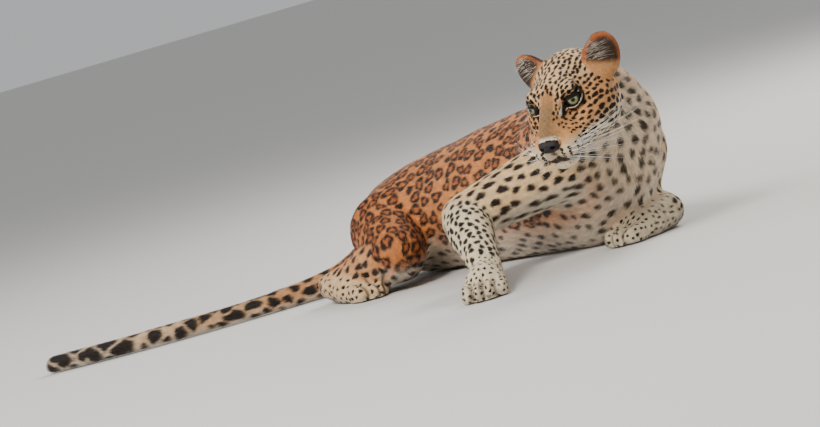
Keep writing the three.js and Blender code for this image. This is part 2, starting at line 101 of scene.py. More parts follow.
# The tail's bends, then each node of flesh with its hair's run from root end to far end, in the model's mm.
TAIL_RUN = [
    (-640, -60, 100),
    (-720, -90, 45),
    (-790, -200, 20),
    (-850, -330, 18),
    (-930, -450, 17),
    (-1092, -590, 16),
]
HAIR_RUN = {
    "neck": ((150, -60, 230), (20, 0, 190)),
    "torso_front": ((60, 0, 140), (-180, 6, 130)),
    "torso_middle": ((-180, 6, 130), (-420, 0, 115)),
    "torso_rear": ((-420, 0, 115), (-640, -40, 90)),
    "upper_arm_right": ((52, -80, 166), (-72, -248, 122)),
    "forearm_right": ((-72, -248, 122), (104, -352, 52)),
    "fore_paw_right": ((104, -352, 40), (212, -443, 12)),
    "upper_arm_left": ((52, 66, 156), (-70, 112, 42)),
    "forearm_left": ((-70, 112, 42), (108, 62, 34)),
    "fore_paw_left": ((108, 62, 34), (118, -78, 14)),
    "thigh_right": ((-545, -104, 130), (-400, -196, 66)),
    "shank_right": ((-400, -196, 66), (-590, -236, 32)),
    "hind_foot_right": ((-590, -236, 32), (-410, -254, 12)),
    "thigh_left": ((-545, 26, 130), (-400, 122, 66)),
    "shank_left": ((-400, 122, 66), (-588, 148, 32)),
    "hind_foot_left": ((-588, 148, 32), (-410, 170, 12)),
}
HAIR_RUN |= {f"tail_{number}": run for number, run in enumerate(zip(TAIL_RUN, TAIL_RUN[1:]), 1)}
HEAD_NODES = ["head", "lower_jaw", "ear_right", "ear_left"]
FLESH = list(HAIR_RUN) + HEAD_NODES
# Rounds of smoothing that each node's skin gets, few where the form is small, and the skin's mesh size in m.
SMOOTHING = {"head": 6, "lower_jaw": 6, "ear_right": 4, "ear_left": 4}
SMOOTHING |= {name: 3 for name in FLESH if "paw" in name or "foot" in name}
SMOOTHING |= {name: 14 for name in FLESH if "tail" in name}
BODY_SMOOTHING = 34
SKIN_GRAIN = 0.0042
# The least height of skin and of hair over the floor, in metres.
SKIN_FLOOR = 0.0012
HAIR_FLOOR = 0.0002


def as_mesh(form, name):
    """A mesh made from a finished form, which is set free."""
    mesh = bpy.data.meshes.new(name)
    form.to_mesh(mesh)
    form.free()
    return mesh


def evened(source, grain):
    """Gives an object even quads of one size."""
    remesh = source.modifiers.new("even_quads", "REMESH")
    remesh.mode = "VOXEL"
    remesh.voxel_size = grain


def merged_copy(name, swell):
    """A node's mesh with its points merged and pushed out a little, so that neighbours fuse."""
    part = bmesh.new()
    part.from_mesh(nodes[name].data)
    bmesh.ops.remove_doubles(part, verts=part.verts, dist=1e-5)
    part.normal_update()
    for v in part.verts:
        v.co += v.normal * swell
    return as_mesh(part, name + "_copy")


def applied(source):
    """The mesh that an object's modifiers make, in place of the object."""
    depsgraph = bpy.context.evaluated_depsgraph_get()
    mesh = bpy.data.meshes.new_from_object(source.evaluated_get(depsgraph))
    bpy.data.objects.remove(source)
    return mesh


def fused_flesh():
    """All flesh in one closed mesh of even quads."""
    body = bmesh.new()
    for name in FLESH:
        mesh = merged_copy(name, 0.0006)
        body.from_mesh(mesh)
        bpy.data.meshes.remove(mesh)
    fused = in_scene("fused", as_mesh(body, "fused"))
    evened(fused, SKIN_GRAIN)
    skin_mesh = applied(fused)
    skin_mesh.name = "skin"
    return skin_mesh


def read_points(mesh):
    co = np.empty(len(mesh.vertices) * 3)
    mesh.vertices.foreach_get("co", co)
    return co.reshape(-1, 3)


def read_normals(mesh):
    normals = np.empty(len(mesh.vertices) * 3)
    mesh.vertex_normals.foreach_get("vector", normals)
    return normals.reshape(-1, 3)


def write_points(mesh, co):
    mesh.vertices.foreach_set("co", co.ravel())
    mesh.update()


def read_edges(mesh):
    edges = np.empty(len(mesh.edges) * 2, dtype=np.int64)
    mesh.edges.foreach_get("vertices", edges)
    return edges.reshape(-1, 2)


class Net:
    """The skin's points and the edges between them, for averaging over neighbours."""

    def __init__(self, mesh):
        edges = read_edges(mesh)
        self.start = np.concatenate([edges[:, 0], edges[:, 1]])
        self.end = np.concatenate([edges[:, 1], edges[:, 0]])
        self.size = len(mesh.vertices)
        self.degree = np.maximum(np.bincount(self.start, minlength=self.size), 1)

    def around(self, values):
        sums = [np.bincount(self.start, weights=v[self.end], minlength=self.size) for v in values.T]
        return np.stack(sums, axis=1) / self.degree[:, None]

    def spread(self, values, rounds, strength=0.5):
        for _ in range(rounds):
            values = values + (self.around(values) - values) * strength
        return values

    def relax(self, co, rounds):
        """Smooths points, each for its own number of rounds."""
        for turn in range(int(rounds.max())):
            share = np.clip(rounds - turn, 0, 1)[:, None] * 0.5
            co = co + (self.around(co) - co) * share
        return co


def nearest_nodes(co):
    """For each point, the number in FLESH of the node that it lies on."""
    points = []
    faces = []
    owner = []
    for number, name in enumerate(FLESH):
        mesh = nodes[name].data
        base = len(points)
        points += [v.co[:] for v in mesh.vertices]
        faces += [[base + i for i in p.vertices] for p in mesh.polygons]
        owner += [number] * len(mesh.polygons)
    tree = BVHTree.FromPolygons(points, faces)
    return np.array([owner[tree.find_nearest(p)[2]] for p in co.tolist()])


# Soft forms of the face, in the head's own millimetres: below zero inside the flesh.
def egg(p, centre, radii):
    """How far points lie outside an egg."""
    q = (p - np.array(centre)) / np.array(radii)
    near = np.linalg.norm(q, axis=1)
    steep = np.linalg.norm(q / np.array(radii), axis=1)
    return near * (near - 1) / np.maximum(steep, 1e-6)


def rod(p, a, b, radius_a, radius_b):
    """How far points lie outside a round rod that tapers from a to b."""
    a = np.array(a, dtype=float)
    run = np.array(b, dtype=float) - a
    t = np.clip((p - a) @ run / (run @ run), 0, 1)
    return np.linalg.norm(p - a - t[:, None] * run, axis=1) - (radius_a + (radius_b - radius_a) * t)


def joined(blend, *fields):
    """Forms melted into one, with fillets as wide as the blend."""
    found = fields[0]
    for other in fields[1:]:
        share = np.clip(0.5 + 0.5 * (found - other) / blend, 0, 1)
        found = found + (other - found) * share - blend * share * (1 - share)
    return found


def carved(blend, flesh, *hollows):
    """Flesh with hollows taken out, their edges as soft as the blend."""
    for hollow in hollows:
        share = np.clip(0.5 - 0.5 * (flesh + hollow) / blend, 0, 1)
        flesh = flesh + (-hollow - flesh) * share + blend * share * (1 - share)
    return flesh


def smooth_step(low, high, value):
    t = np.clip((value - low) / (high - low), 0, 1)
    return t * t * (3 - 2 * t)


def mirrored(x, y, z):
    return [(x, -y, z), (x, y, z)]


EYE_SIDES = {-1: EYE_LOCAL * (1, -1, 1), 1: EYE_LOCAL * (1, 1, 1)}


def eye_axes(side):
    """The line of sight of one eye, the way across its slit and the way up it."""
    look = np.array([0.86, side * 0.48, 0.08])
    look /= np.linalg.norm(look)
    across = np.cross([0, 0, 1], look)
    across /= np.linalg.norm(across)
    up = np.cross(look, across)
    turned = across * math.cos(EYE_SLANT) + side * up * math.sin(EYE_SLANT)
    return look, turned, np.cross(look, turned)


# Half the slit's width, its height over and under the middle, and how much lower it is at its corners.
SLIT_WIDE = 15.5
SLIT_UP = 4.6
SLIT_DOWN = 7.6
SLIT_TAPER = 2.4


def slit(p, side):
    """How far out a point lies from the slit's middle: 1 on the lids' edge, large behind the eye."""
    look, across, up = eye_axes(side)
    off = p - EYE_SIDES[side]
    wide = off @ across / SLIT_WIDE
    over = off @ up
    high = over / (np.where(over > 0, SLIT_UP, SLIT_DOWN) - SLIT_TAPER * np.abs(np.clip(wide, -1, 1)))
    ahead = off @ look
    return np.sqrt(wide**2 + high**2) + np.where(ahead < 2, 10, 0)


def nearer_slit(p):
    return np.minimum(slit(p, -1), slit(p, 1))


def eye_distance(p):
    """Millimetres from the nearer eye's middle."""
    return np.min([np.linalg.norm(p - middle, axis=1) for middle in EYE_SIDES.values()], axis=0)


def nose_tip(p):
    return egg(p, (131, 0, -13), (14, 20, 13))


def philtrum(p):
    return rod(p, (136, 0, -24), (119, 0, -47), 1.8, 1.8)


LIP_LINE = [(117, 1, -49), (114, 20, -53), (104, 27, -56), (90, 29, -57), (76, 33, -57), (61, 46, -53)]


def lip_grooves(p):
    """How far points lie outside the groove between the lips, on both sides."""
    found = np.full(len(p), 1e3)
    for a, b in zip(LIP_LINE, LIP_LINE[1:]):
        for side in (-1, 1):
            flip = np.array([1, side, 1])
            found = np.minimum(found, rod(p, a * flip, b * flip, 2.4, 2.0))
    return found


def face_form(p):
    """The whole face: skull, cheeks and jaw, then bridge, muzzle and brows, then pads, chin and lids."""
    skull = joined(
        20,
        egg(p, (-34, 0, 18), (72, 62, 54)),
        egg(p, (-64, 0, -14), (50, 72, 66)),
        egg(p, (24, 0, 30), (46, 43, 34)),
        *[egg(p, c, (56, 37, 50)) for c in mirrored(-6, 49, -22)],
        *[rod(p, (-44, s * 34, -38), (44, s * 22, -50), 34, 25) for s in (-1, 1)],
    )
    face = joined(
        12,
        skull,
        rod(p, (36, 0, 32), (116, 0, 2), 28, 20),
        egg(p, (80, 0, -20), (54, 39, 36)),
        *[egg(p, c, (28, 20, 18)) for c in mirrored(36, 46, -10)],
        *[egg(p, c, (19, 17, 9)) for c in mirrored(40, 31, 47)],
        *[rod(p, (96, s * 20, -30), (34, s * 40, -34), 24, 28) for s in (-1, 1)],
    )
    face = carved(9, face, *[egg(p, c, (13, 20, 13)) for c in mirrored(68, 43, 25)])
    face = joined(
        7,
        face,
        *[egg(p, c, (31, 25, 24)) for c in mirrored(106, 21, -30)],
        egg(p, (93, 0, -62), (30, 28, 18)),
        egg(p, (122, 0, -8), (16, 19, 15)),
    )
    for side, middle in EYE_SIDES.items():
        face = joined(6, face, np.linalg.norm(p - middle, axis=1) - (EYE_RADIUS + 2.2))
    face = carved(3, face, lip_grooves(p), philtrum(p))
    for side, middle in EYE_SIDES.items():
        past_eye = EYE_RADIUS - 4 - np.linalg.norm(p - middle, axis=1)
        opening = np.maximum((slit(p, side) - 1) * 9, past_eye)
        face = carved(1.2, face, opening)
    return face


def fine_of_face(local):
    """Lids, nose and lips, which need a closer net, with the right forearm and paw below them."""
    return (eye_distance(local) < 27) & (local[:, 0] > 30) | (local[:, 0] > 74) & (local[:, 2] < -8)


# Each paw's place in the model's mm and turn in radians, with its length and width.
PAWS = [
    ((104, -352), -0.7, 142, 84),
    ((108, 62), -1.5, 142, 84),
    ((-590, -236), -0.1, 176, 72),
    ((-588, 148), 0.12, 176, 72),
]


def in_paw(co, place, turn):
    """Points as millimetres ahead of a paw's root, to its left and over the floor."""
    off = co * 1000 - SHIFT - np.array([*place, 0])
    ahead = off[:, 0] * math.cos(turn) + off[:, 1] * math.sin(turn)
    beside = off[:, 1] * math.cos(turn) - off[:, 0] * math.sin(turn)
    return ahead, beside, off[:, 2]


def between_toes(co):
    """1 in the three clefts of each paw, fading to 0 over a few millimetres."""
    found = np.zeros(len(co))
    for place, turn, length, width in PAWS:
        ahead, beside, high = in_paw(co, place, turn)
        gap = np.min([np.abs(beside - n * width * 0.245) for n in (-1, 0, 1)], axis=0)
        here = smooth_step(length * 0.66, length * 0.84, ahead) * (ahead < length * 1.25) * (high < 52)
        found = np.maximum(found, smooth_step(5.5, 0.5, gap) * here * smooth_step(1, 6, high))
    return found


def near_toes(co):
    """The fore half of each paw, where the net is refined."""
    found = np.zeros(len(co), dtype=bool)
    for place, turn, length, width in PAWS:
        ahead, beside, high = in_paw(co, place, turn)
        found |= (ahead > length * 0.55) & (ahead < length * 1.25) & (np.abs(beside) < width) & (high < 52)
    return found


def halve(form, chosen):
    """Halves the edges between chosen points, and so their quads."""
    form.verts.index_update()
    edges = [e for e in form.edges if chosen[e.verts[0].index] and chosen[e.verts[1].index]]
    bmesh.ops.subdivide_edges(form, edges=edges, cuts=1, use_grid_fill=True)


def refine_head(mesh):
    """Halves the quads of head and toes, and once more where the face is fine."""
    form = bmesh.new()
    form.from_mesh(mesh)
    co = read_points(mesh)
    local = to_head(co)
    halve(form, (local[:, 0] > -80) & (np.linalg.norm(local, axis=1) < 175) | near_toes(co))
    halve(form, fine_of_face(to_head(np.array([v.co[:] for v in form.verts]))))
    form.to_mesh(mesh)
    form.free()


def settle_on_face(co, depth, rounds=5):
    """Moves the skin of the face onto the face's form, a coat's depth inside it."""
    p = to_head(co)
    depth = 0.3 + (depth - 0.3) * smooth_step(23, 38, eye_distance(p))
    share = smooth_step(-45, 15, p[:, 0] + 0.25 * p[:, 2])
    near = (share > 0) & (np.linalg.norm(p - np.array([40, 0, -10]), axis=1) < 150)
    q = p[near]
    depth = depth[near]
    for _ in range(rounds):
        value = face_form(q) + depth
        slope = np.stack([face_form(q + step) + depth - value for step in np.eye(3) * 0.5], axis=1) / 0.5
        length = np.maximum((slope**2).sum(axis=1), 0.2)
        move = -slope * (value / length)[:, None]
        reach = np.linalg.norm(move, axis=1, keepdims=True)
        q = q + move * np.minimum(1, 6 / np.maximum(reach, 1e-6)) * 0.8
    moved = p.copy()
    moved[near] = p[near] + (q - p[near]) * share[near, None]
    return from_head(moved)


def from_screen(*rgb):
    """A colour as seen on a screen, 0 to 255, as the linear light a material takes."""
    c = np.array(rgb) / 255
    return np.where(c < 0.04045, c / 12.92, ((c + 0.055) / 1.055) ** 2.4)


# Hair: length and width in mm, tufts to a square centimetre, and lift in degrees.
HAIR = {
    "torso": (9, 1.5, 24, 10),
    "neck": (11, 1.5, 24, 13),
    "upper_arm": (8, 1.4, 26, 10),
    "forearm": (6.5, 1.2, 32, 10),
    "fore_paw": (4.5, 1.0, 44, 11),
    "thigh": (9, 1.5, 24, 10),
    "shank": (7.5, 1.3, 28, 11),
    "hind_foot": (4.5, 1.0, 42, 11),
    "tail": (9, 1.4, 28, 13),
    "head": (4.2, 0.85, 66, 12),
    "lower_jaw": (5, 0.9, 55, 14),
    "ear": (4, 0.8, 60, 16),
}
# Spots: spacing and radius in mm, 1 where they are rings, and length against width.
SPOTS = {
    "torso": (24, 8.3, 1, 1.3),
    "neck": (21, 6.8, 0, 1.3),
    "upper_arm": (21, 6.4, 0, 1.5),
    "forearm": (14.5, 4.9, 0, 1.5),
    "fore_paw": (10.5, 2.7, 0, 1.3),
    "thigh": (24, 8.6, 1, 1.3),
    "shank": (19, 6.5, 0, 1.3),
    "hind_foot": (13, 3.6, 0, 1.3),
    "tail_1": (21, 8.5, 1, 1.1),
    "tail_2": (20, 9.8, 0, 1.2),
    "tail_3": (22, 13.0, 0, 1.3),
    "tail_4": (24, 16.0, 0, 1.4),
    "tail_5": (26, 20.0, 0, 1.4),
    "head": (8.8, 3.1, 0, 1.7),
    "lower_jaw": (14, 2.2, 0, 1.2),
    "ear": (0, 1, 0, 1),
}
# The coat's plain colours as seen on a screen.
GROUND = {
    "torso": (202, 127, 68),
    "neck": (224, 188, 144),
    # The forelegs' pale creams are partly their own paler coat and partly painted light, set as pale as a
    # brightly lit foreleg looks.
    "upper_arm": (226, 190, 142),
    "forearm": (232, 212, 176),
    "fore_paw": (226, 208, 176),
    "thigh": (200, 122, 64),
    "shank": (206, 146, 94),
    "hind_foot": (216, 182, 140),
    "tail_1": (200, 136, 84),
    "tail_2": (202, 148, 100),
    "tail_3": (206, 162, 118),
    "tail_4": (208, 174, 136),
    "tail_5": (196, 172, 142),
    "head": (205, 148, 95),
    "lower_jaw": (232, 220, 200),
    "ear": (60, 46, 36),
}
# A tuft takes its colour at these parts of its length. A piece of the coat holds this many tufts at most,
# and a spot at a whisker's root has this radius in metres.
MARKED_AT = (0, 0.45, 0.9)
TUFTS_IN_PIECE = 48000
WHISKER_SPOT = 0.0027
GROUND_HEAD = from_screen(*GROUND["head"])
WHITE_FUR = from_screen(238, 226, 204)
BLACK_FUR = from_screen(26, 17, 13)
GREY_FUR = from_screen(78, 64, 52)
CREAM_FUR = from_screen(230, 196, 152)
PAD_FUR = from_screen(218, 198, 168)
BRIDGE_FUR = from_screen(134, 104, 72)
BRIDGE_TOP_FUR = from_screen(174, 118, 72)
RUST_FUR = from_screen(166, 92, 44)
# The dark of the ear hollows is painted shade in the ear's cup.
EAR_HOLLOW_PAINTED_SHADE = from_screen(58, 44, 34)


def of_node(table, name):
    """A node's entry in a table, by its own name or by the part's name without its side or number."""
    if name in table:
        return table[name]
    return next(value for key, value in table.items() if name.startswith(key))


def per_point(table, owner):
    return np.array([of_node(table, name) for name in FLESH], dtype=float)[owner]


def mix(a, b, share):
    share = np.asarray(share)
    share = share[:, None] if share.ndim == 1 else share
    return a + (b - a) * share


def lie_of_hair(hide):
    """The way the hair lies at each point: down each part, and back from the nose over the head."""
    run = np.zeros((len(FLESH), 3))
    for number, name in enumerate(FLESH):
        if name in HAIR_RUN:
            a, b = np.array(HAIR_RUN[name][0]), np.array(HAIR_RUN[name][1])
            run[number] = (b - a) / np.linalg.norm(b - a)
    lie = run[hide.owner]
    from_nose = hide.local - np.array([138, 0, -6])
    from_nose /= np.maximum(np.linalg.norm(from_nose, axis=1, keepdims=True), 1)
    lie[hide.on_head] = from_nose[hide.on_head] @ HEAD_TURN.T
    for name, tip in (("ear_right", (-0.15, -0.8, 0.8)), ("ear_left", (-0.15, 0.45, 0.8))):
        lie[hide.names == name] = HEAD_TURN @ np.array(tip)
    lie = hide.net.spread(lie, 14)
    lie = lie - hide.normals * (lie * hide.normals).sum(axis=1, keepdims=True)
    return lie / np.maximum(np.linalg.norm(lie, axis=1, keepdims=True), 1e-6)


def inner_corner(side):
    """The corner of an eye towards the nose."""
    look, across, _ = eye_axes(side)
    return EYE_SIDES[side] - side * across * 17 + look * 10


def outer_corner(side):
    look, across, _ = eye_axes(side)
    return EYE_SIDES[side] + side * across * 18 + look * 10


def face_ground(local, ground):
    """The plain colours of the head under its spots."""
    x, y, z = local.T
    ground = mix(ground, CREAM_FUR, smooth_step(18, 50, z) * 0.75)
    lower = smooth_step(-12, -40, z) * smooth_step(-90, -30, x)
    ground = mix(ground, mix(CREAM_FUR, WHITE_FUR, 0.6), lower * 0.9)
    for side in (-1, 1):
        pad = egg(local, (104, side * 23, -34), (36, 22, 20))
        ground = mix(ground, PAD_FUR, smooth_step(6, -3, pad) * 0.9)
        rim = slit(local, side)
        strip = smooth_step(1.5, 1.7, rim) * smooth_step(2.5, 2.1, rim)
        ground = mix(ground, WHITE_FUR, strip * 0.9)
    bridge = smooth_step(21, 8, np.abs(y)) * smooth_step(36, 66, x) * smooth_step(-16, 0, z)
    top = smooth_step(92, 58, x)
    ground = mix(ground, mix(BRIDGE_FUR, BRIDGE_TOP_FUR, top), bridge * 0.95)
    over_nose = smooth_step(7, 2, nose_tip(local)) * smooth_step(-12, -6, z)
    return mix(ground, WHITE_FUR, over_nose * 0.8)


def face_black(local):
    """The black of the head that isn't spots: lid rims, tear lines and lips."""
    black = np.zeros(len(local))
    for side in (-1, 1):
        rim = slit(local, side)
        in_lids = np.linalg.norm(local - EYE_SIDES[side], axis=1) - EYE_RADIUS
        black = np.maximum(black, smooth_step(1.72, 1.58, rim))
        black = np.maximum(black, smooth_step(1.5, 0.8, in_lids))
        tear = rod(local, inner_corner(side), (78, side * 23, 11), 5.6, 3.6)
        lower_tear = rod(local, (78, side * 23, 11), (86, side * 23, 3), 3.6, 1.2)
        outer = rod(local, outer_corner(side), outer_corner(side) + (-13, side * 7, 6), 2.6, 1.8)
        marks = np.minimum(np.minimum(tear, lower_tear), outer)
        black = np.maximum(black, smooth_step(1.2, -0.6, marks))
    black = np.maximum(black, smooth_step(4.4, 3.0, lip_grooves(local)) * 0.95)
    return np.maximum(black, smooth_step(3.6, 2.4, philtrum(local)) * 0.8)


# How far each ear leans to its side in radians, its foot on the head and its half sizes in mm.
EAR_LEAN = {-1: -0.95, 1: 0.42}
EAR_FOOT = {-1: (-40, -56, 46), 1: (-42, 76, 47)}
EAR_RADII = np.array([22, 34, 46.9])
EARS = (("ear_right", -1), ("ear_left", 1))


def in_ear(side, local):
    """Points in an ear's own directions, x out of the hollow and z to the tip, 1 on its outline."""
    lean = Matrix.Rotation(-EAR_LEAN[side], 3, "X")
    turn = Matrix.Rotation(side * 0.5, 3, "Z") @ Matrix.Rotation(-0.1, 3, "Y") @ lean
    return (local - np.array(EAR_FOOT[side])) @ np.array(turn) / EAR_RADII, np.array(turn)


def ear_ground(hide, ground):
    """Backs of the ears black with a pale patch, rims rust, hollows painted dark as the shade in the cup,
    with an orange foot.
    """
    for name, side in EARS:
        on_ear = (hide.names == name).astype(float)
        place, turn = in_ear(side, hide.local)
        front = smooth_step(-0.15, 0.3, (hide.normals_local @ turn)[:, 0])
        out = np.hypot(place[:, 1], place[:, 2])
        patch = smooth_step(0.5, 0.3, np.hypot(place[:, 1], place[:, 2] - 0.5))
        back = mix(np.broadcast_to(BLACK_FUR, ground.shape), WHITE_FUR, patch)
        back = mix(back, RUST_FUR, smooth_step(0.86, 0.98, out) * 0.7)
        foot = smooth_step(0.0, -0.3, place[:, 2])
        hollow = mix(np.broadcast_to(EAR_HOLLOW_PAINTED_SHADE, ground.shape), RUST_FUR, smooth_step(0.74, 0.92, out))
        hollow = mix(hollow, GROUND_HEAD, foot * 0.85)
        ground = mix(ground, mix(back, hollow, front), on_ear)
    return ground


def head_spots(local, spacing, radius):
    """Spacing and size of the head's spots: fine on the brow, coarser on the cheek, none on the bridge."""
    x, y, z = local.T
    cheek = smooth_step(58, 24, x) * smooth_step(28, -4, z)
    front = smooth_step(58, 80, x)
    spacing = spacing + 3.4 * cheek * (1 - front) - 1.4 * front
    radius = radius + 1.4 * cheek * (1 - front) - 0.9 * front
    bridge = (np.abs(y) < 14) & (x > 62) & (z > -14)
    muzzle = (x > 88) & (z > -62) & ((z < -12) | (x > 104))
    chin = smooth_step(60, 84, x) * smooth_step(-54, -64, z)
    spacing = spacing - 3.6 * chin
    radius = radius - 0.5 * chin
    at_eye = nearer_slit(local) < 2.2
    return np.where(bridge | muzzle | at_eye, 0, spacing), radius


def whisker_roots():
    """Where the whisker rows stand on each pad: a start inside it and the way out, in head millimetres."""
    roots = []
    for side in (-1, 1):
        for row in range(4):
            for place in range(5 - row // 3):
                start = np.array([94 - place * 4.5, side * 9.0, -20 - row * 7.0])
                way = np.array([0.95 - 0.2 * place, side * (0.26 + 0.19 * place), -0.12])
                roots.append((side, row, place, start, way))
    return roots


def tree_of(points):
    """A tree that finds the nearest of the points."""
    tree = KDTree(len(points))
    for i, p in enumerate(points.tolist()):
        tree.insert(p, i)
    tree.balance()
    return tree


class Spots:
    """The coat's spots and rings, each with its place, lie, size and irregular outline."""

    def __init__(self, hide, lie, sizes, extra):
        spacing, radius, ring, stretch = sizes
        co = hide.co
        tree = tree_of(co)
        alive = spacing > 0
        chosen = [tree.find(p)[1] for p in extra]
        for i in chosen:
            alive[[j for _, j, _ in tree.find_range(co[i], 0.006)]] = False
        for i in rng.permutation(len(co)).tolist():
            if not alive[i]:
                continue
            chosen.append(i)
            alive[[j for _, j, _ in tree.find_range(co[i], spacing[i] / 1000)]] = False
        chosen = np.array(chosen)
        count = len(chosen)
        self.place = co[chosen]
        self.up = hide.normals[chosen]
        self.along = lie[chosen]
        self.across = np.cross(self.up, self.along)
        self.size = radius[chosen] * rng.uniform(0.82, 1.18, count) / 1000
        self.ring = ring[chosen] * (rng.random(count) > 0.08)
        self.stretch = stretch[chosen] * rng.uniform(0.8, 1.25, count)
        self.size[: len(extra)] = WHISKER_SPOT
        self.stretch[: len(extra)] = 1.6
        self.phase = rng.uniform(0, 2 * math.pi, (count, 4))
        self.tree = tree_of(self.place)

    def outline(self, points, i):
        """How far out each point lies on spot i, 1 on its edge, and how wide a ring is there."""
        off = points - self.place[i]
        along = (off * self.along[i]).sum(axis=1) / self.stretch[i]
        across = (off * self.across[i]).sum(axis=1)
        away = np.sqrt(along**2 + across**2) + 0.3 * np.abs((off * self.up[i]).sum(axis=1))
        angle = np.arctan2(across, along)
        phase = self.phase[i]
        wobble = 1 + 0.14 * np.sin(2 * angle + phase[:, 0]) + 0.1 * np.sin(3 * angle + phase[:, 1])
        wobble += 0.05 * np.sin(5 * angle + phase[:, 2])
        band = 0.41 + 0.17 * np.sin(3 * angle + phase[:, 3]) + 0.07 * np.sin(5 * angle + phase[:, 0])
        return away * wobble / self.size[i], band

    def read(self, points):
        """How black each point is, and how far inside a ring's darker middle."""
        found = np.zeros((len(points), 3), dtype=int)
        for row, p in enumerate(points.tolist()):
            found[row] = [i for _, i, _ in self.tree.find_n(p, 3)]
        black = np.zeros(len(points))
        middle = np.zeros(len(points))
        ratios = np.zeros((3, len(points)))
        for rank, i in enumerate(found.T):
            ratio, band = self.outline(points, i)
            ratios[rank] = ratio
            hoop = smooth_step(0.09, -0.06, np.abs(ratio - 1) - band)
            ringed = self.ring[i] > 0
            black = np.maximum(black, np.where(ringed, hoop, smooth_step(1.12, 0.94, ratio)))
            middle = np.maximum(middle, np.where(ringed, smooth_step(1.1, 0.8, ratio), 0))
        ratios.sort(axis=0)
        apart = smooth_step(0.06, 0.24, ratios[1] - ratios[0])
        return black * apart, middle


def spotted(ground, black, middle, faded):
    """The plain colours with rings and spots over them, greyer where the coat is faded."""
    inside = ground * np.array([0.72, 0.52, 0.4])
    dark = mix(np.broadcast_to(BLACK_FUR, ground.shape), GREY_FUR, faded)
    return mix(mix(ground, inside, middle * 0.85), dark, black)


# The coat: tufts sown over the skin, and single long hairs.
def set_colour(mesh, colours):
    """Gives each point of a mesh the coat's colour there."""
    rgba = np.ones((len(colours), 4))
    rgba[:, :3] = np.clip(colours, 0, 1)
    layer = mesh.color_attributes.new("coat_colour", "FLOAT_COLOR", "POINT")
    layer.data.foreach_set("color", rgba.ravel())


def unwrap(thing):
    """Lays the skin out flat, so that each tuft can take the place of its root."""
    bpy.context.view_layer.objects.active = thing
    thing.select_set(True)
    thing.data.uv_layers.new(name="OFBake")
    bpy.ops.object.mode_set(mode="EDIT")
    bpy.ops.mesh.select_all(action="SELECT")
    bpy.ops.uv.smart_project(angle_limit=math.radians(62), island_margin=0.002)
    bpy.ops.object.mode_set(mode="OBJECT")
    thing.select_set(False)


class Meadow:
    """Draws tuft roots over the skin and reads the skin's values there."""

    def __init__(self, mesh):
        mesh.calc_loop_triangles()
        count = len(mesh.loop_triangles)
        self.corners = np.empty(count * 3, dtype=np.int64)
        mesh.loop_triangles.foreach_get("vertices", self.corners)
        self.corners = self.corners.reshape(-1, 3)
        loops = np.empty(count * 3, dtype=np.int64)
        mesh.loop_triangles.foreach_get("loops", loops)
        flat = np.empty(len(mesh.loops) * 2)
        mesh.uv_layers["OFBake"].data.foreach_get("uv", flat)
        self.flat = flat.reshape(-1, 2)[loops.reshape(-1, 3)]
        co = read_points(mesh)
        a, b, c = (co[self.corners[:, k]] for k in range(3))
        self.area = np.linalg.norm(np.cross(b - a, c - a), axis=1) / 2

    def sow(self, per_square_cm):
        """Picks the roots: each one's triangle and its weights on the corners."""
        wanted = self.area * 1e4 * per_square_cm[self.corners].mean(axis=1)
        steps = np.cumsum(wanted)
        total = int(steps[-1])
        marks = (np.arange(total) + rng.random(total)) * steps[-1] / total
        self.chosen = np.minimum(np.searchsorted(steps, marks), len(steps) - 1)
        u, v = rng.random((2, total))
        over = u + v > 1
        u, v = np.where(over, 1 - u, u), np.where(over, 1 - v, v)
        self.share = np.stack([1 - u - v, u, v], axis=1)

    def at_roots(self, values):
        return (values[self.corners[self.chosen]] * self.share[:, :, None]).sum(axis=1)

    def flat_at_roots(self):
        return (self.flat[self.chosen] * self.share[:, :, None]).sum(axis=1)


def unit(v):
    return v / np.maximum(np.linalg.norm(v, axis=1, keepdims=True), 1e-9)


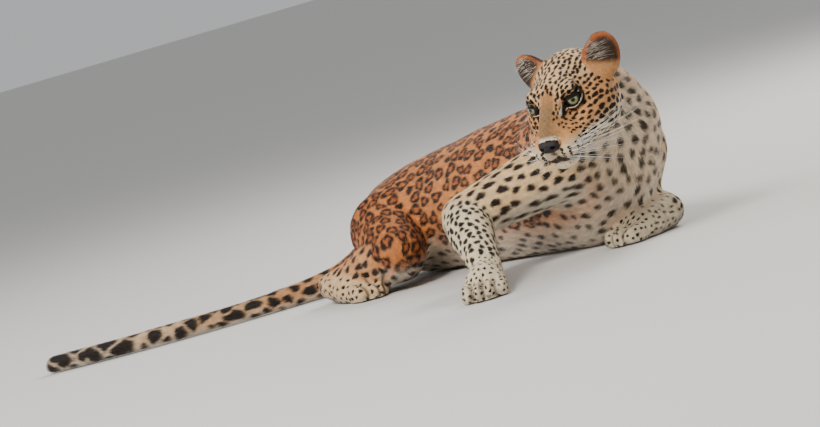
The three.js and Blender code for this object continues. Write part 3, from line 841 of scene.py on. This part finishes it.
def tuft_piece(name, material, root, up, lie, length, width, lift, colours, flat):
    """A piece of the coat: each tuft a thin closed wedge that leans along the lie of the hair."""
    count = len(root)
    sway = rng.normal(0, 0.17, count)
    across = unit(np.cross(up, lie))
    lie = unit(lie * np.cos(sway)[:, None] + across * np.sin(sway)[:, None])
    across = unit(np.cross(up, lie))
    lean = lift * rng.uniform(0.45, 1.45, count)
    way = lie * np.cos(lean)[:, None] + up * np.sin(lean)[:, None]
    root = root - up * 0.0006
    half = across * (width / 2)[:, None]
    back = root - lie * (length * 0.12)[:, None]
    points = np.stack(
        [back + half, back - half, root + up * (width * 0.45)[:, None], root + way * length[:, None]],
        axis=1,
    ).reshape(-1, 3)
    points[:, 2] = np.maximum(points[:, 2], HAIR_FLOOR)
    pattern = np.array([[0, 2, 3], [2, 1, 3], [1, 0, 3], [0, 1, 2]])
    faces = (pattern[None] + (np.arange(count) * 4)[:, None, None]).reshape(-1)
    mesh = bpy.data.meshes.new(name)
    mesh.vertices.add(count * 4)
    mesh.loops.add(count * 12)
    mesh.polygons.add(count * 4)
    mesh.vertices.foreach_set("co", points.ravel())
    mesh.loops.foreach_set("vertex_index", faces)
    mesh.polygons.foreach_set("loop_start", np.arange(count * 4) * 3)
    mesh.update(calc_edges=True)
    # Each tuft's two root corners are a fifth darker, painted shade down among the tufts, and its tip a
    # little lighter, painted light on the tips; the middle corner keeps nearly its own colour.
    low, high, end = colours
    set_colour(mesh, np.stack([low * 0.8, low * 0.8, high * 0.97, end * 1.06], axis=1).reshape(-1, 3))
    corner_spread = np.array([[-1, -1], [1, -1], [0, 0.4], [0, 1]]) * 0.0014
    corners = flat[:, None, :] + corner_spread[None]
    layer = mesh.uv_layers.new(name="OFBake")
    layer.data.foreach_set("uv", np.clip(corners.reshape(-1, 2)[faces], 0.0001, 0.9999).ravel())
    side_tilt = np.stack([across, -across, up, up], axis=1) * 0.35
    soft = unit((up[:, None, :] + side_tilt + lie[:, None, :] * 0.15).reshape(-1, 3))
    mesh.normals_split_custom_set_from_vertices(soft.tolist())
    mesh.materials.append(material)
    piece = in_scene(name, mesh)
    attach(piece, "root")


def bent_hairs(name, material, root, way, bend, length, radius):
    """Long single hairs: tapered three-sided rods that bend as they run."""
    steps = 8
    t = np.linspace(0, 1, steps)[None, :, None]
    way = unit(way)
    path = root[:, None] + way[:, None] * (length[:, None, None] * t) + bend[:, None] * (t**2)
    across = unit(np.cross(way, np.array([0.1, 0.2, 1.0])))
    other = np.cross(way, across)
    turn = np.arange(3) * 2 * math.pi / 3
    ring = across[:, None, None] * np.cos(turn)[None, None, :, None]
    ring = ring + other[:, None, None] * np.sin(turn)[None, None, :, None]
    thick = radius * (1 - 0.88 * t[..., None])
    points = (path[:, :, None] + ring * thick).reshape(-1, 3)
    points[:, 2] = np.maximum(points[:, 2], HAIR_FLOOR)
    mesh = bpy.data.meshes.new(name)
    form = []
    for base in range(0, len(root) * steps * 3, steps * 3):
        for s in range(steps - 1):
            low = base + s * 3
            for k in range(3):
                n = (k + 1) % 3
                form.append((low + k, low + n, low + 3 + n, low + 3 + k))
        form.append((base + 2, base + 1, base))
        last = base + (steps - 1) * 3
        form.append((last, last + 1, last + 2))
    mesh.from_pydata(points.tolist(), [], form)
    mesh.shade_smooth()
    mesh.materials.append(material)
    piece = in_scene(name, mesh)
    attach(piece, "root")


# The finishes of coat, skin and long hairs.
def new_material(name, roughness):
    """A material with its nodes and its shader."""
    material = bpy.data.materials.new(name)
    material.use_nodes = True
    shader = material.node_tree.nodes["Principled BSDF"]
    shader.inputs["Roughness"].default_value = roughness
    return material, material.node_tree, shader


def step(tree, kind, inputs, operation=None):
    """One shader node, each input set to a value or linked to an earlier node's output."""
    node = tree.nodes.new("ShaderNode" + kind)
    if operation:
        node.operation = operation
    feed(tree, node, inputs)
    return node


def feed(tree, node, inputs):
    """Sets or links a node's inputs."""
    for name, value in inputs.items():
        if isinstance(value, bpy.types.NodeSocket):
            tree.links.new(value, node.inputs[name])
        else:
            node.inputs[name].default_value = value


def place_in_mesh(tree):
    return step(tree, "TexCoord", {}).outputs["Object"]


def colour_steps(tree, value, stops):
    """A colour for each value, blended between stops of position and colour."""
    ramp = step(tree, "ValToRGB", {"Fac": value})
    points = ramp.color_ramp.elements
    points[1].position = stops[-1][0]
    points[0].position = stops[0][0]
    for position, _ in stops[1:-1]:
        points.new(position)
    for point, (_, colour) in zip(points, stops):
        point.color = (*colour, 1)
    return ramp.outputs["Color"]


def coat_colour(tree, shader):
    """Takes the base colour from the points of the mesh."""
    colour = step(tree, "Attribute", {})
    colour.attribute_name = "coat_colour"
    feed(tree, shader, {"Base Color": colour.outputs["Color"]})


def fur_material():
    material, tree, shader = new_material("short_fur", 0.62)
    coat_colour(tree, shader)
    shader.inputs["Specular IOR Level"].default_value = 0.28
    shader.inputs["Sheen Weight"].default_value = 0.12
    shader.inputs["Sheen Roughness"].default_value = 0.5
    return material


def skin_material():
    material, tree, shader = new_material("under_fur", 0.85)
    coat_colour(tree, shader)
    grain = step(tree, "TexNoise", {"Vector": place_in_mesh(tree), "Scale": 900})
    bump = step(tree, "Bump", {"Height": grain.outputs["Fac"], "Strength": 0.5, "Distance": 0.0008})
    feed(tree, shader, {"Normal": bump.outputs["Normal"]})
    shader.inputs["Specular IOR Level"].default_value = 0.2
    return material


def long_hair_material(name, roughness, dark, pale, scale):
    """Pale long hairs that turn darker in places along their length."""
    material, tree, shader = new_material(name, roughness)
    change = step(tree, "TexNoise", {"Vector": place_in_mesh(tree), "Scale": scale})
    colour = colour_steps(tree, change.outputs["Fac"], [(0.36, dark), (0.52, pale)])
    feed(tree, shader, {"Base Color": colour})
    return material


# The skin: all flesh in one, with its joins smoothed.
skin_mesh = fused_flesh()
fused_net = Net(skin_mesh)
fused_co = read_points(skin_mesh)
rounds = [SMOOTHING.get(name, BODY_SMOOTHING) for name in FLESH]
rounds = np.array(rounds, dtype=float)[nearest_nodes(fused_co)]
rounds = fused_net.spread(rounds[:, None], 6)[:, 0]
write_points(skin_mesh, fused_net.relax(fused_co, rounds))
skin = in_scene("skin", skin_mesh)
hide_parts(*FLESH)
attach(skin, "root")


# Eyes, nose and whiskers.
def sight_turn(side):
    """The turn that takes upwards to an eye's line of sight."""
    look, _, _ = eye_axes(side)
    return Vector(HEAD_TURN @ look).to_track_quat("Z", "Y")


def eye_material(side):
    """Pale green iris, darker at its rim, round a black pupil, with the upper lid's shade over its top."""
    material, tree, shader = new_material("eye_" + ("right" if side < 0 else "left"), 0.06)
    middle = from_head(EYE_SIDES[side])
    centred = step(tree, "VectorMath", {0: place_in_mesh(tree), 1: middle}, "SUBTRACT")
    turned = tree.nodes.new("ShaderNodeMapping")
    turned.vector_type = "TEXTURE"
    feed(tree, turned, {"Vector": centred.outputs["Vector"], "Rotation": sight_turn(side).to_euler()})
    in_eye = turned.outputs["Vector"]
    parts = step(tree, "SeparateXYZ", {"Vector": in_eye})
    flat = step(tree, "CombineXYZ", {"X": parts.outputs["X"], "Y": parts.outputs["Y"]})
    out = step(tree, "VectorMath", {0: flat.outputs["Vector"]}, "LENGTH")
    share = step(tree, "Math", {0: out.outputs["Value"], 1: 1000 / EYE_RADIUS}, "MULTIPLY")
    spokes = step(tree, "TexNoise", {"Vector": in_eye, "Scale": 700, "Detail": 3})
    wavy_inputs = {0: spokes.outputs["Fac"], 1: 0.1, 2: share.outputs["Value"]}
    wavy = step(tree, "Math", wavy_inputs, "MULTIPLY_ADD")
    up_the_slit = (-side * math.sin(EYE_SLANT), math.cos(EYE_SLANT), 0)
    over = step(tree, "VectorMath", {0: in_eye, 1: up_the_slit}, "DOT_PRODUCT")
    shade_range = {"Value": over.outputs["Value"], "From Min": 0.0026, "From Max": 0.0042}
    lid_shade = step(tree, "MapRange", shade_range)
    shaded = step(tree, "Math", {0: wavy.outputs["Value"], 1: lid_shade.outputs["Result"]}, "ADD")
    stops = [
        (0.0, (0.004, 0.004, 0.004)),
        (0.24, (0.003, 0.003, 0.003)),
        (0.28, (0.15, 0.15, 0.06)),
        (0.36, (0.25, 0.27, 0.13)),
        (0.48, (0.17, 0.2, 0.11)),
        (0.56, (0.03, 0.03, 0.018)),
        (0.62, (0.008, 0.006, 0.005)),
    ]
    feed(tree, shader, {"Base Color": colour_steps(tree, shaded.outputs["Value"], stops)})
    shader.inputs["Specular IOR Level"].default_value = 0.24
    return material


def eyeball(side):
    """The wet ball with a slight bulge over the iris."""
    name = "eye_" + ("right" if side < 0 else "left")
    radius = EYE_RADIUS / 1000
    form = bmesh.new()
    bmesh.ops.create_uvsphere(form, u_segments=48, v_segments=32, radius=radius)
    for v in form.verts:
        v.co.z += 0.0003 * max(0.0, v.co.z / radius - 0.72) / 0.28
    bmesh.ops.rotate(form, verts=form.verts, matrix=sight_turn(side).to_matrix())
    bmesh.ops.translate(form, verts=form.verts, vec=Vector(from_head(EYE_SIDES[side])))
    mesh = as_mesh(form, name + "_ball")
    mesh.shade_smooth()
    mesh.materials.append(eye_material(side))
    ball = in_scene(name + "_ball", mesh)
    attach(ball, "root")
    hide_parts(name)


def nose_material():
    """Dark blotched leather with pebbles."""
    material, tree, shader = new_material("nose_leather", 0.5)
    shader.inputs["Specular IOR Level"].default_value = 0.3
    place = place_in_mesh(tree)
    pebbles = step(tree, "TexVoronoi", {"Vector": place, "Scale": 900})
    bump = step(tree, "Bump", {"Height": pebbles.outputs["Distance"], "Strength": 0.6, "Distance": 0.0006})
    blotch = step(tree, "TexNoise", {"Vector": place, "Scale": 90})
    stops = [(0.38, (0.007, 0.005, 0.006)), (0.68, (0.025, 0.015, 0.015))]
    colour = colour_steps(tree, blotch.outputs["Fac"], stops)
    feed(tree, shader, {"Base Color": colour, "Normal": bump.outputs["Normal"]})
    return material


def nose_leather():
    """The bare nose: the model's own form, made even and smoothed."""
    source = in_scene("nose_source", merged_copy("nose", 0))
    evened(source, 0.0011)
    smooth = source.modifiers.new("soft", "SMOOTH")
    smooth.iterations = 4
    mesh = applied(source)
    mesh.shade_smooth()
    mesh.materials.clear()
    mesh.materials.append(nose_material())
    nose = in_scene("nose_leather", mesh)
    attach(nose, "root")
    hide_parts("nose")


def ripple(points):
    """A soft lighter and darker waver through the coat, about 1."""
    ways = rng.normal(0, 1, (9, 3))
    waves = np.sin(points @ (unit(ways) * rng.uniform(150, 620, (9, 1))).T + rng.uniform(0, 6.28, 9))
    return 1 + 0.045 * waves.sum(axis=1)


class Hide:
    """The shaped skin's points, with the node that each lies on and its place on the head."""

    def __init__(self):
        """Shapes the face and parts the toes."""
        refine_head(skin_mesh)
        self.net = Net(skin_mesh)
        co = settle_on_face(read_points(skin_mesh), 2.6)
        co = self.net.relax(co, smooth_step(-60, 20, to_head(co)[:, 0]))
        self.co = co - read_normals(skin_mesh) * (between_toes(co) * 0.0042)[:, None]
        self.write()
        self.normals = read_normals(skin_mesh)
        self.owner = nearest_nodes(self.co)
        self.names = np.array(FLESH)[self.owner]
        self.local = to_head(self.co)
        self.normals_local = self.normals @ HEAD_TURN
        self.on_head = np.isin(self.names, ["head", "lower_jaw"])
        self.on_ear = np.isin(self.names, ["ear_right", "ear_left"])
        self.at_slit = nearer_slit(self.local)

    def write(self):
        self.co[:, 2] = np.maximum(self.co[:, 2], SKIN_FLOOR)
        write_points(skin_mesh, self.co)

    def sink(self):
        """Takes the skin inside the solids by the coat's depth, and well inside the nose leather."""
        depth = np.where(self.on_head | self.on_ear, 0.0004, 0.0018)
        depth = self.net.spread(depth[:, None], 6)[:, 0]
        depth = depth + 0.004 * smooth_step(1.5, -1.5, nose_tip(self.local))
        self.co = self.co - self.normals * depth[:, None]
        self.write()

    def facing(self, low, high, way, name):
        """How far the points of a node face a way, from 0 to 1."""
        return smooth_step(low, high, self.normals @ np.array(way)) * (self.names == name)

    def softened(self, values):
        return self.net.spread(values[:, None], 10)[:, 0]


def plain_colours(hide, pale, nape):
    """The coat's colours without its spots."""
    ground = np.array([from_screen(*of_node(GROUND, name)) for name in FLESH])[hide.owner]
    ground = hide.net.spread(ground, 22)
    ground = mix(ground, from_screen(*GROUND["torso"]), nape * 0.8)
    whiter = np.where(hide.names == "neck", 0.45, 0.85)
    ground = mix(ground, WHITE_FUR, pale * whiter * (1 - nape))
    ground = np.where(hide.on_head[:, None], face_ground(hide.local, ground), ground)
    ground = ear_ground(hide, ground)
    fleck = rng.normal(0, 1, len(ground)) * np.where(hide.on_head | hide.on_ear, 0.2, 0.14)
    return hide.net.spread(ground * np.clip(1 + fleck, 0.5, 1.5)[:, None], 1)


def spot_sizes(hide, pale):
    """Spacing, radius, kind and stretch of the spots at each point: solid and smaller where it is pale."""
    spacing, radius, ring, stretch = per_point(SPOTS, hide.owner).T
    head_spacing, head_radius = head_spots(hide.local, spacing, radius)
    spacing = np.where(hide.on_head, head_spacing, spacing)
    radius = np.where(hide.on_head, head_radius, radius)
    ring = np.where(pale > 0.35, 0, ring)
    radius = np.where((pale > 0.35) & (radius > 7), 6.5, radius)
    spacing[hide.co[:, 2] < 0.004] = 0
    return spacing, radius, ring, stretch


def markings(pattern, points, tone, on_head, on_ear, faded):
    """The coat's colour at points near the skin, over their plain colour."""
    black, middle = pattern.read(points)
    place = to_head(points)
    black = black * np.where(on_head > 0.5, smooth_step(2.0, 2.2, nearer_slit(place)), 1) * (on_ear < 0.5)
    # On the head the extra black is the face's own lid rims, tear lines and lips; on the paws it is painted
    # shade, 0.7 black in the clefts between the toes.
    extra = np.where(on_head > 0.5, face_black(place), between_toes(points) * 0.7)
    return mix(spotted(tone, black, middle, faded), BLACK_FUR, extra)


def colour_skin(hide, pattern, ground, faded):
    """Marks the skin a little darker as painted shade under the tufts, and black inside the lids where it
    turns in behind the ball.
    """
    # The skin's colours are taken 0.85 times: painted shade for the skin seen down between the tufts.
    colours = markings(pattern, hide.co, ground, hide.on_head, hide.on_ear, faded) * 0.85
    in_lids = smooth_step(1.12, 1.02, hide.at_slit)
    set_colour(skin_mesh, mix(colours, np.broadcast_to(BLACK_FUR, colours.shape), in_lids))
    skin_mesh.materials.clear()
    skin_mesh.materials.append(skin_material())
    skin_mesh.shade_smooth()
    unwrap(skin)


def hair_sizes(hide, underside):
    """The hair at each point: shorter and finer on the face, and none on lids, nose leather and soles."""
    hair = per_point(HAIR, hide.owner)
    on_head = hide.on_head
    face_front = smooth_step(30, 90, hide.local[:, 0]) * on_head
    hair[:, 0] -= face_front * 1.6 - underside * 5
    by_eye = 0.45 + 0.55 * smooth_step(1.2, 2.2, hide.at_slit)
    hair[:, 0] = np.where(on_head, hair[:, 0] * by_eye, hair[:, 0])
    hair[:, 1] -= face_front * 0.15
    hair = hide.net.spread(hair, 5)
    hair[:, 2] *= 1
    hair[:, 2] *= 1 - 0.7 * between_toes(hide.co)
    on_nose = egg(hide.local, (131, 0, -13), (16, 22, 15)) < 0
    bare = on_head & ((hide.at_slit < 1.75) | on_nose) | (hide.co[:, 2] < 0.0035)
    hair[bare, 2] = 0
    return hair


def lay_coat(hide, pattern, ground, faded, lie, hair):
    """Sows the tufts and makes the pieces of the coat from them, node after node."""
    meadow = Meadow(skin_mesh)
    meadow.sow(hair[:, 2])
    root = meadow.at_roots(hide.co)
    up = unit(meadow.at_roots(hide.normals))
    root_lie = unit(meadow.at_roots(lie))
    size = meadow.at_roots(hair)
    length = size[:, 0] / 1000 * rng.uniform(0.75, 1.2, len(root))
    width = size[:, 1] / 1000 * rng.uniform(0.8, 1.2, len(root)) * 1
    lift = np.radians(size[:, 3])
    tone = meadow.at_roots(ground) * rng.uniform(0.82, 1.14, (len(root), 1)) * ripple(root)[:, None]
    kinds = np.stack([hide.on_head, hide.on_ear, faded], axis=1).astype(float)
    kinds = meadow.at_roots(kinds).T
    reaches = [root_lie * (length * part)[:, None] for part in MARKED_AT]
    levels = [markings(pattern, root + reach, tone, *kinds) for reach in reaches]
    flat = meadow.flat_at_roots()
    fur = fur_material()
    order = np.argsort(hide.owner[meadow.corners[meadow.chosen, 0]], kind="stable")
    for number, batch in enumerate(np.array_split(order, math.ceil(len(order) / TUFTS_IN_PIECE)), 1):
        colours = [level[batch] for level in levels]
        tuft_piece(
            f"coat_{number}", fur, root[batch], up[batch], root_lie[batch], length[batch],
            width[batch], lift[batch], colours, flat[batch],
        )


def dress_skin():
    """Shapes the skin and lays the coat, both with the same markings. Gives back the whiskers' roots."""
    hide = Hide()
    hide.sink()
    lie = lie_of_hair(hide)
    underside = smooth_step(-0.15, -0.75, hide.normals[:, 2]) * (~hide.on_head & ~hide.on_ear)
    throat = hide.facing(0.1, 0.9, (0.85, -0.2, -0.45), "neck")
    chest = hide.facing(0.2, 0.9, (0.95, 0.0, -0.2), "torso_front")
    pale = hide.softened(np.maximum(np.maximum(throat, chest), underside))
    nape = hide.softened(hide.facing(0.0, 0.75, (-0.35, 0.42, 0.84), "neck"))
    ground = plain_colours(hide, pale, nape)
    whiskers = whisker_spots(hide.co)
    pattern = Spots(hide, lie, spot_sizes(hide, pale), [w.root for w in whiskers])
    faded = pale * 0.4 * (1 - nape)
    colour_skin(hide, pattern, ground, faded)
    lay_coat(hide, pattern, ground, faded, lie, hair_sizes(hide, underside))
    ear_hairs(hide)
    return whiskers


# A whisker's side, row and place in the row, with its root and the way straight out of the skin there.
Whisker = namedtuple("Whisker", "side row place root normal")


def whisker_spots(co):
    """The roots of the whiskers, found on the skin from inside the pads."""
    tree = BVHTree.FromPolygons(co.tolist(), [list(p.vertices) for p in skin_mesh.polygons])
    found = []
    for side, row, place, start, way in whisker_roots():
        hit = tree.ray_cast(Vector(from_head(start)), Vector(HEAD_TURN @ way).normalized())
        if hit[0] is not None:
            found.append(Whisker(side, row, place, np.array(hit[0]), np.array(hit[1])))
    return found


def ear_hairs(hide):
    """Long pale hairs that fan out over the hollows of the ears from their inner edge."""
    roots, ways, bends, lengths = [], [], [], []
    for name, side in EARS:
        place, turn = in_ear(side, to_head(hide.co))
        inner = place[:, 1] * side < -0.15
        front = (hide.normals_local @ turn)[:, 0] > 0.2
        high = (place[:, 2] > -0.1) & (place[:, 2] < 0.75)
        fit = np.flatnonzero((hide.names == name) & front & inner & high)
        chosen = rng.choice(fit, min(len(fit), 90), replace=False)
        outward = np.array([0.35, side * 0.75, 0.55]) + rng.normal(0, 0.16, (len(chosen), 3))
        roots.append(hide.co[chosen])
        ways.append(outward @ turn.T @ HEAD_TURN.T)
        size = rng.uniform(0.016, 0.03, len(chosen))
        lengths.append(size)
        bends.append(np.array([-0.15, side * 0.2, -0.1]) @ turn.T @ HEAD_TURN.T * size[:, None])
    roots, ways, bends, lengths = map(np.concatenate, (roots, ways, bends, lengths))
    material = long_hair_material("ear_hair", 0.6, (0.3, 0.24, 0.18), (0.56, 0.5, 0.42), 120)
    bent_hairs("ear_hairs", material, roots, ways, bends, lengths, 0.00045)


def set_whiskers(whiskers):
    """Two long hairs from each of the first four roots in a row, swept back past the cheeks."""
    roots, ways, bends, lengths = [], [], [], []
    pairs = [w for w in whiskers if w.place < 4 for _ in range(2)]
    for w in pairs:
        back = HEAD_TURN @ np.array([-0.85 - 0.2 * w.place, w.side * 0.9, -0.14 - 0.12 * w.row])
        roots.append(w.root)
        ways.append(w.normal * 0.45 + back + rng.normal(0, 0.07, 3))
        length = 0.1 + 0.012 * w.place + rng.uniform(-0.02, 0.025)
        lengths.append(length)
        bends.append(HEAD_TURN @ np.array([-0.34, w.side * -0.22, -0.1]) * length)
    roots, ways, bends, lengths = map(np.array, (roots, ways, bends, lengths))
    material = long_hair_material("whisker", 0.35, (0.55, 0.52, 0.46), (0.88, 0.86, 0.82), 40)
    bent_hairs("whiskers", material, roots, ways, bends, lengths, 0.0005)


whisker_places = dress_skin()
set_whiskers(whisker_places)
for eye_side in (-1, 1):
    eyeball(eye_side)
nose_leather()


# The floor, the light and the camera.
def studio():
    """A wide pale floor under an even sky."""
    form = bmesh.new()
    bmesh.ops.create_grid(form, x_segments=1, y_segments=1, size=40)
    floor = in_scene("floor", as_mesh(form, "floor"))
    pale, _, shader = new_material("pale_floor", 0.75)
    shader.inputs["Base Color"].default_value = (0.62, 0.61, 0.59, 1)
    floor.data.materials.append(pale)

    world = bpy.data.worlds.new("soft_sky")
    bpy.context.scene.world = world
    world.use_nodes = True
    world.node_tree.nodes["Background"].inputs["Color"].default_value = (0.97, 0.98, 1.0, 1)
    world.node_tree.nodes["Background"].inputs["Strength"].default_value = 0.5


def soft_lamp(name, place, aim, size, power, tint):
    """A round lamp that looks at a point."""
    lamp = bpy.data.lights.new(name, "AREA")
    lamp.shape = "DISK"
    lamp.size = size
    lamp.energy = power
    lamp.color = tint
    holder = in_scene(name, lamp)
    holder.location = place
    away = Vector(aim) - Vector(place)
    holder.rotation_euler = away.to_track_quat("-Z", "Y").to_euler()


# The photo's view: low, from ahead and to the right of the animal, and rolled. A point of the head is
# seen at AIM_PIXEL.
VIEW_AZIMUTH = math.radians(57)
VIEW_ELEVATION = math.radians(4)
VIEW_ROLL = math.radians(16)
VIEW_DISTANCE = 7.0
MM_PER_PIXEL = 1.75
AIM_MODEL = (204, -127, 269)
AIM_PIXEL = (583, 104)
PHOTO_WIDTH = 820
PHOTO_HEIGHT = 427


def photo_camera():
    """The camera at the photo's viewing angle, with the head at its place in the picture."""
    a = VIEW_AZIMUTH
    e = VIEW_ELEVATION
    right = Vector((math.cos(a), math.sin(a), 0))
    away = Vector((-math.sin(a) * math.cos(e), math.cos(a) * math.cos(e), -math.sin(e)))
    up = right.cross(away)
    tilted_right = right * math.cos(VIEW_ROLL) - up * math.sin(VIEW_ROLL)
    tilted_up = right * math.sin(VIEW_ROLL) + up * math.cos(VIEW_ROLL)
    metres = MM_PER_PIXEL / 1000
    off_right = (AIM_PIXEL[0] - PHOTO_WIDTH / 2) * metres
    off_up = (PHOTO_HEIGHT / 2 - AIM_PIXEL[1]) * metres
    aim = Vector(in_frame(*AIM_MODEL)) - tilted_right * off_right - tilted_up * off_up
    lens = bpy.data.cameras.new("photo_view")
    lens.sensor_width = 36
    lens.lens = lens.sensor_width * VIEW_DISTANCE / (PHOTO_WIDTH * metres)
    lens.clip_end = 200
    camera = in_scene("photo_view", lens)
    facing = Matrix((tilted_right, tilted_up, -away)).transposed().to_4x4()
    camera.matrix_world = Matrix.Translation(aim - away * VIEW_DISTANCE) @ facing
    bpy.context.scene.camera = camera


studio()
soft_lamp("key", (2.2, -3.4, 3.4), (0.3, 0, 0.1), 2.0, 270, (1.0, 0.96, 0.9))
soft_lamp("fill", (-2.6, -3.0, 2.2), (-0.1, 0, 0.1), 3.0, 80, (0.97, 0.98, 1.0))
soft_lamp("back", (-0.8, 3.2, 2.8), (0.1, 0, 0.2), 2.0, 150, (1.0, 0.96, 0.88))
photo_camera()
